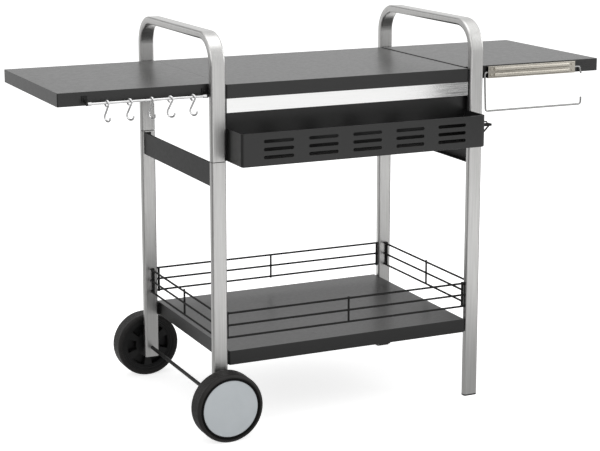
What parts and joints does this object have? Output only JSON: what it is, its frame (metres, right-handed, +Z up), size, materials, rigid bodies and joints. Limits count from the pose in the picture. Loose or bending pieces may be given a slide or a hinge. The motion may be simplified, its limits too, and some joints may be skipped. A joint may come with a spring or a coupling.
{
  "type": "grill cart with storage",
  "caption": "Wheeled grill cart with a centre top, fixed side tops, tube handles, slotted front basket, low fenced shelf, hook rail, towel ring and bottle opener.",
  "frame": {"origin": "on the floor, below the middle of the whole cart's box", "axes": "+X along the tables towards the end with the towel ring and the feet, -Y is the front with the basket, +Z up"},
  "size_m": [1.56, 0.6884, 1.043],
  "materials": {
    "table_coat": "fine satin charcoal powder coat",
    "shelf_coat": "fine satin charcoal powder coat",
    "black_coat": "satin black coat",
    "wire_coat": "satin black coat",
    "post_steel": "satin",
    "rail_steel": "brushed along its length",
    "bright_steel": "polished",
    "nickel": "warm satin plate",
    "towel_wire_steel": "satin",
    "black_plastic": "moulded",
    "screw_steel": "zinc plated",
    "tyre_rubber": "satin rubber",
    "rim_plastic": "moulded",
    "hub_cap_plastic": "silver grey, satin",
    "axle_steel": "turned"
  },
  "bodies": {
    "cart": {"axle": "axle_steel", "axle_retainers": "axle_steel", "axle_washers": "axle_steel", "basket": "table_coat", "basket_screws": "screw_steel", "bottle_opener": "black_coat", "bottom_shelf": "shelf_coat", "centre_table": "table_coat", "end_spacers": "black_plastic", "foot_caps": "black_plastic", "front_rail": "rail_steel", "handle_left": "post_steel", "handle_right": "post_steel", "hook_rail": "bright_steel", "hook_rail_arms": "black_coat", "hook_rail_screws": "black_coat", "leg_end_plugs": "black_plastic", "leg_front_left": "post_steel", "leg_front_right": "post_steel", "leg_rear_left": "post_steel", "leg_rear_right": "post_steel", "leg_sleeves": "black_coat", "opener_screws": "screw_steel", "rear_rail": "black_coat", "shelf_fence_front": "wire_coat", "shelf_fence_left": "wire_coat", "shelf_fence_rear": "wire_coat", "shelf_fence_right": "wire_coat", "shelf_rib": "shelf_coat", "shelf_spacers": "black_plastic", "side_brace_left": "black_coat", "side_brace_right": "black_coat", "side_table_left": "table_coat", "side_table_right": "table_coat", "side_table_screws": "screw_steel", "side_table_spacers_left": "black_plastic", "side_table_spacers_right": "black_plastic", "table_ribs": "shelf_coat", "towel_bracket": "nickel", "towel_bushes": "black_plastic", "towel_screws": "nickel"},
    "front_wheel": {"tyre_front": "tyre_rubber", "rim_front": "rim_plastic", "hub_cap_front": "hub_cap_plastic"},
    "rear_wheel": {"tyre_rear": "tyre_rubber", "rim_rear": "rim_plastic", "hub_cap_rear": "hub_cap_plastic"},
    "towel_ring": {"towel_wire": "towel_wire_steel"},
    "hook_1": {"s_hook_1": "bright_steel"},
    "hook_2": {"s_hook_2": "bright_steel"},
    "hook_3": {"s_hook_3": "bright_steel"},
    "hook_4": {"s_hook_4": "bright_steel"},
    "hook_5": {"s_hook_5": "bright_steel"}
  },
  "joints": [
    {"name": "front_wheel_spin", "type": "hinge", "parent": "cart", "child": "front_wheel", "pos_m": [-0.373, -0.29375, 0.0905], "axis": [0, 1, 0], "continuous": true},
    {"name": "rear_wheel_spin", "type": "hinge", "parent": "cart", "child": "rear_wheel", "pos_m": [-0.373, 0.31725, 0.0905], "axis": [0, 1, 0], "continuous": true},
    {"name": "towel_ring_swing", "type": "hinge", "parent": "cart", "child": "towel_ring", "pos_m": [0.56, -0.23195, 0.897], "axis": [-1, 0, 0], "range_deg": [-10, 90]},
    {"name": "hook_1_swing", "type": "hinge", "parent": "cart", "child": "hook_1", "pos_m": [-0.66184, -0.24725, 0.888], "axis": [-1, 0, 0], "range_deg": [-30, 60]},
    {"name": "hook_2_swing", "type": "hinge", "parent": "cart", "child": "hook_2", "pos_m": [-0.6037, -0.24725, 0.888], "axis": [-1, 0, 0], "range_deg": [-30, 60]},
    {"name": "hook_3_swing", "type": "hinge", "parent": "cart", "child": "hook_3", "pos_m": [-0.54714, -0.24725, 0.888], "axis": [-1, 0, 0], "range_deg": [-30, 60]},
    {"name": "hook_4_swing", "type": "hinge", "parent": "cart", "child": "hook_4", "pos_m": [-0.49784, -0.24725, 0.888], "axis": [-1, 0, 0], "range_deg": [-30, 60]},
    {"name": "hook_5_swing", "type": "hinge", "parent": "cart", "child": "hook_5", "pos_m": [-0.43812, -0.24725, 0.888], "axis": [-1, 0, 0], "range_deg": [-30, 60]}
  ]
}
